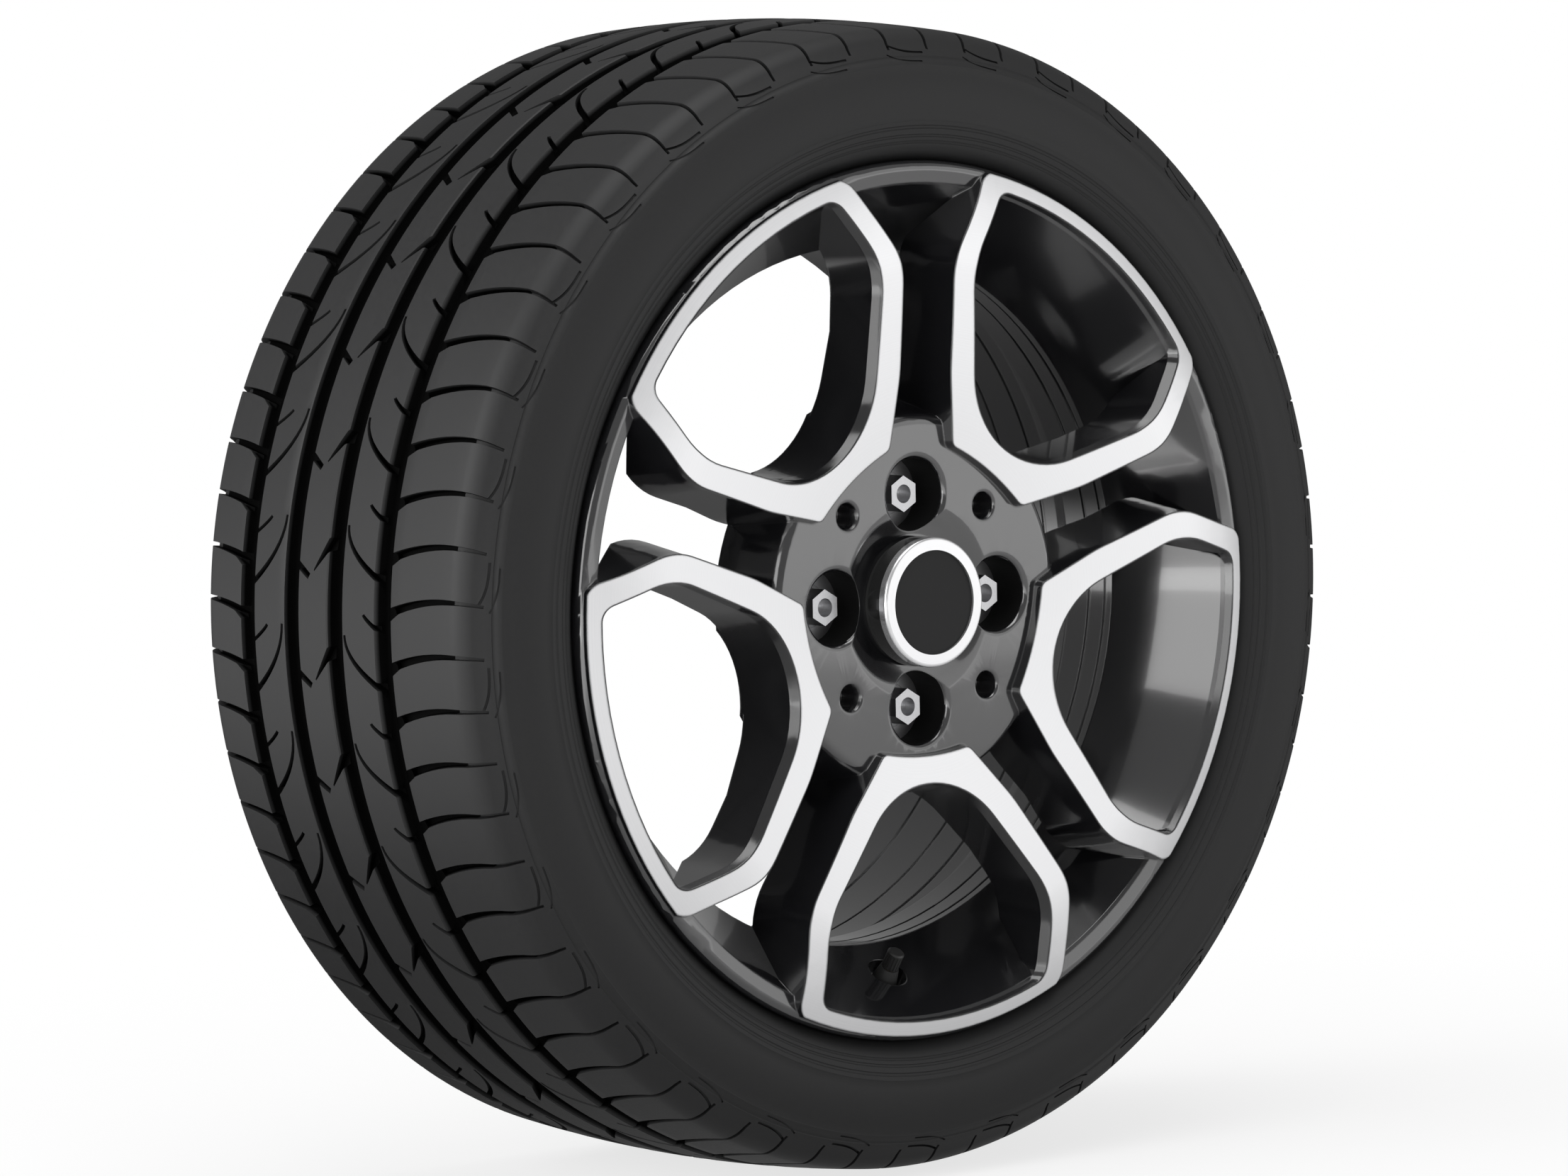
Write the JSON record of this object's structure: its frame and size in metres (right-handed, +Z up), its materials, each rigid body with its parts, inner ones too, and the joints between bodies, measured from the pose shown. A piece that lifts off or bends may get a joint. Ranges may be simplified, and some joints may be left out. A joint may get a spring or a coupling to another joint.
{
  "type": "alloy wheel",
  "caption": "Cast alloy road wheel with twin spokes round wide windows and bright turned faces, with its tyre, wheel bolts, push-in centre cap and tyre valve.",
  "frame": {"origin": "centre of the hub bore on the wheel's mounting face", "axes": "+Y along the wheel's axis towards the vehicle, outer face towards -Y, +Z up with the tyre valve at the bottom"},
  "size_m": [0.622, 0.2559, 0.622],
  "materials": {
    "wheel_paint": "black gloss paint with turned bright faces",
    "tyre_rubber": "matt rubber",
    "bolt_steel": "zinc plated",
    "black_plastic": "satin",
    "silver_trim": "bright silver paint",
    "dull_black": "matt",
    "spring_steel": "plain",
    "valve_rubber": "matt",
    "brass": "plain"
  },
  "bodies": {
    "wheel": {"alloy_rim": "wheel_paint", "tyre": "tyre_rubber", "wheel_bolts": "bolt_steel", "cap_body": "black_plastic", "cap_ring": "silver_trim", "cap_disc": "dull_black", "cap_spring": "spring_steel", "valve_body": "valve_rubber", "valve_stem": "brass", "valve_core": "brass", "core_gasket": "valve_rubber", "valve_spring": "spring_steel"},
    "pin": {"valve_pin": "brass", "pin_seal": "valve_rubber"},
    "cap_washer": {"valve_cap_seal": "valve_rubber"},
    "cap": {"valve_cap": "black_plastic"}
  },
  "joints": [
    {"name": "pin_press", "type": "slide", "parent": "wheel", "child": "pin", "axis": [0, 0.5558, -0.8313], "range_m": [0, 0.0012], "stiffness_N_per_m": 400, "springref_m": -0.003, "deforming": ["valve_spring"]},
    {"name": "valve_cap_lift", "type": "slide", "parent": "wheel", "child": "cap_washer", "axis": [0, -0.5558, 0.8313], "range_m": [0, 0.00397]},
    {"name": "valve_cap_turn", "type": "hinge", "parent": "cap_washer", "child": "cap", "pos_m": [0, -0.02194, -0.19497], "axis": [0, -0.5558, 0.8313], "range_deg": [0, 1802]}
  ],
  "couplings": [
    {"joint": "valve_cap_turn", "follows": "valve_cap_lift", "rad_per_m": 7913.3}
  ]
}
